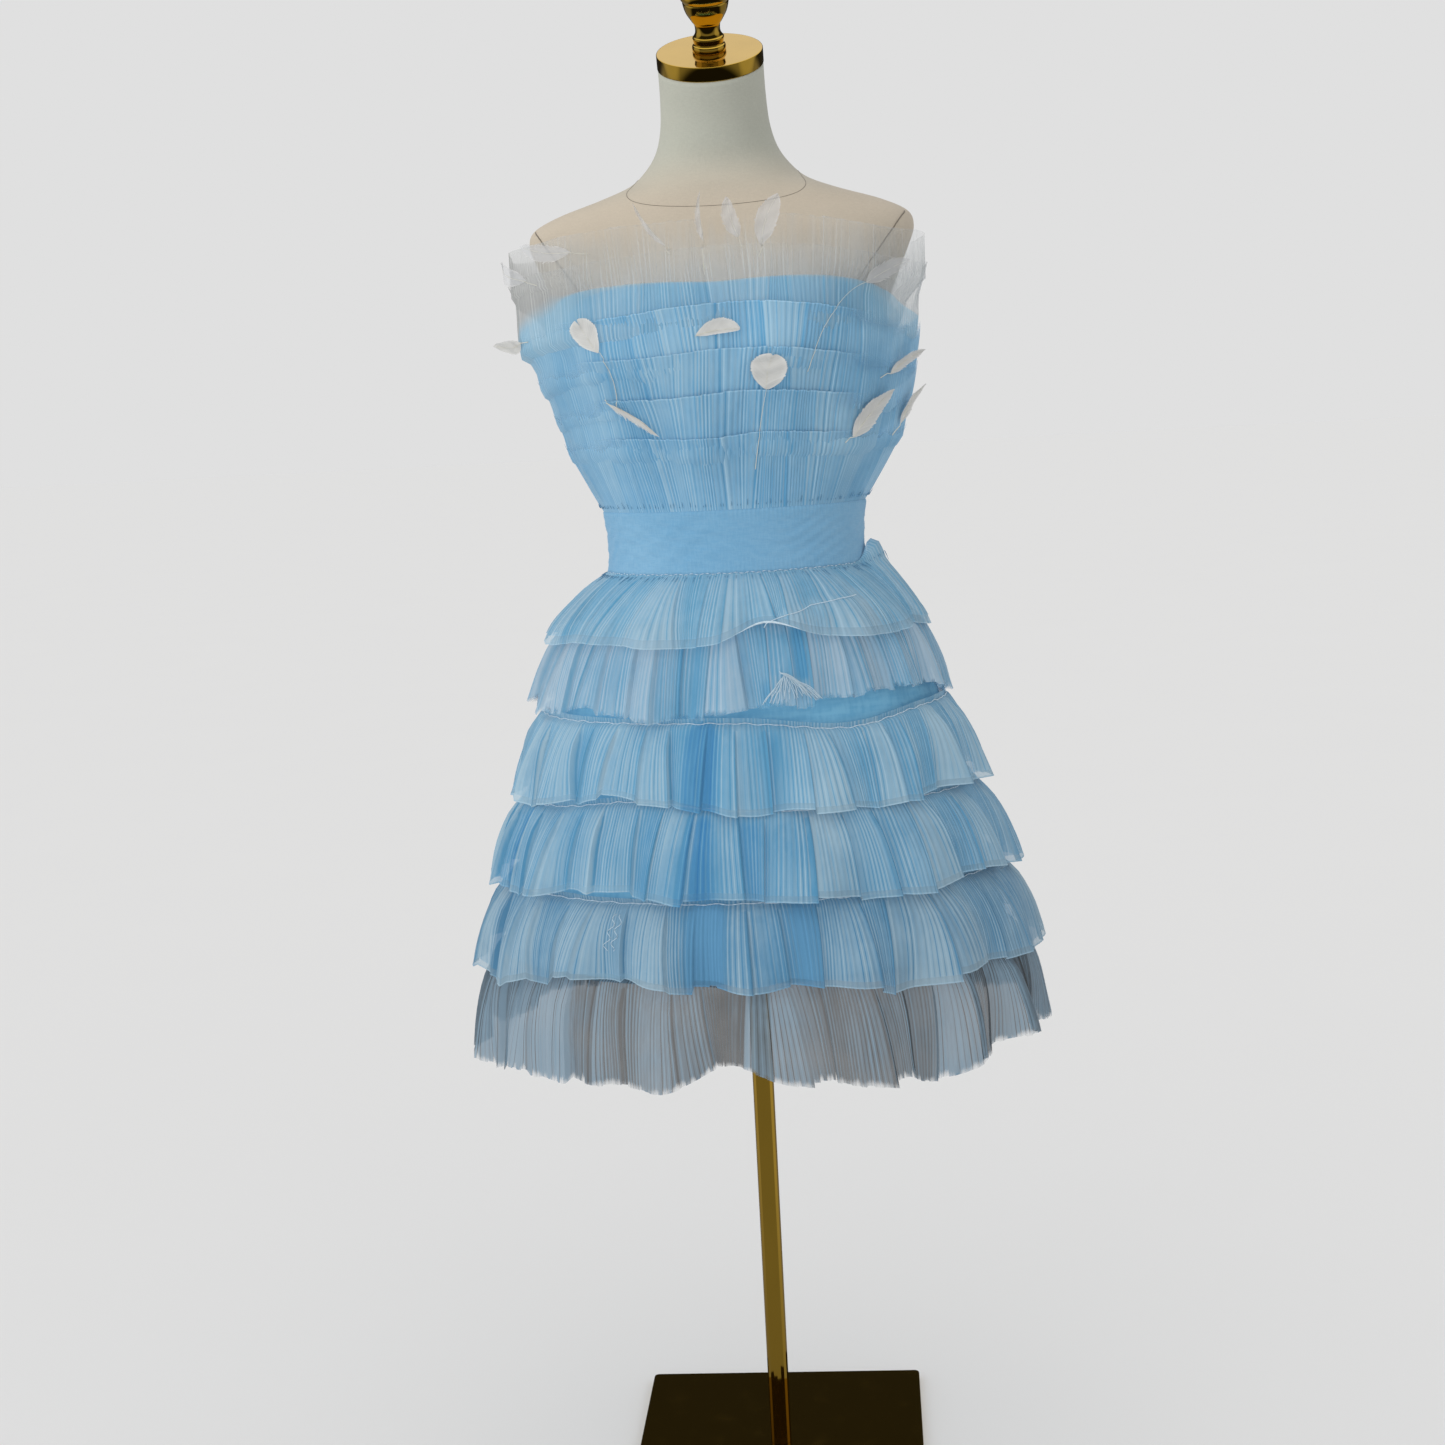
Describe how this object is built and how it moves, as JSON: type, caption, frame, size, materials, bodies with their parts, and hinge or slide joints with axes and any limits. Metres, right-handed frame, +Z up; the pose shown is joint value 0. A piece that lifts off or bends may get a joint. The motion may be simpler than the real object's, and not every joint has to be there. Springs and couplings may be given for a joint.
{
  "type": "party dress on a dress form",
  "caption": "Strapless party dress of tiered pleated tulle with standing bodice ruffles and feathers, worn by a limbless dress form on a pole with a square base.",
  "frame": {"origin": "centre of the base plate's underside, which rests on the floor", "axes": "+Z up along the pole, front of the dress at -Y, the wearer's left at +X"},
  "size_m": [0.5623, 0.4151, 1.4456],
  "materials": {
    "blue_tulle": "sheer pleated tulle",
    "blue_lining": "plain woven lining",
    "cream_linen": "linen weave",
    "polished_gold": "mirror polished",
    "ivory_feather": "soft feather"
  },
  "bodies": {
    "root": {"back_zip": "blue_lining", "base_plate": "polished_gold", "bodice_lining_back_left": "blue_lining", "bodice_lining_back_right": "blue_lining", "bodice_lining_front": "blue_lining", "dress_form": "cream_linen", "feather_01": "ivory_feather", "feather_02": "ivory_feather", "feather_03": "ivory_feather", "feather_04": "ivory_feather", "feather_05": "ivory_feather", "feather_06": "ivory_feather", "feather_07": "ivory_feather", "feather_08": "ivory_feather", "feather_09": "ivory_feather", "feather_10": "ivory_feather", "feather_11": "ivory_feather", "feather_12": "ivory_feather", "feather_13": "ivory_feather", "feather_14": "ivory_feather", "feather_15": "ivory_feather", "feather_16": "ivory_feather", "feather_17": "ivory_feather", "feather_18": "ivory_feather", "feather_19": "ivory_feather", "feather_20": "ivory_feather", "finial": "polished_gold", "neck_cap": "polished_gold", "pole": "polished_gold", "pole_collar": "polished_gold", "ruffle_1_sheer_short": "blue_tulle", "ruffle_1_sheer_tall": "blue_tulle", "ruffle_2": "blue_tulle", "ruffle_3": "blue_tulle", "ruffle_4": "blue_tulle", "ruffle_5": "blue_tulle", "tier_1": "blue_tulle", "tier_2": "blue_tulle", "tier_3": "blue_tulle", "tier_4": "blue_tulle", "tier_5": "blue_tulle", "tier_6": "blue_tulle", "underskirt_back": "blue_lining", "underskirt_front": "blue_lining", "waistband": "blue_tulle"}
  },
  "joints": []
}
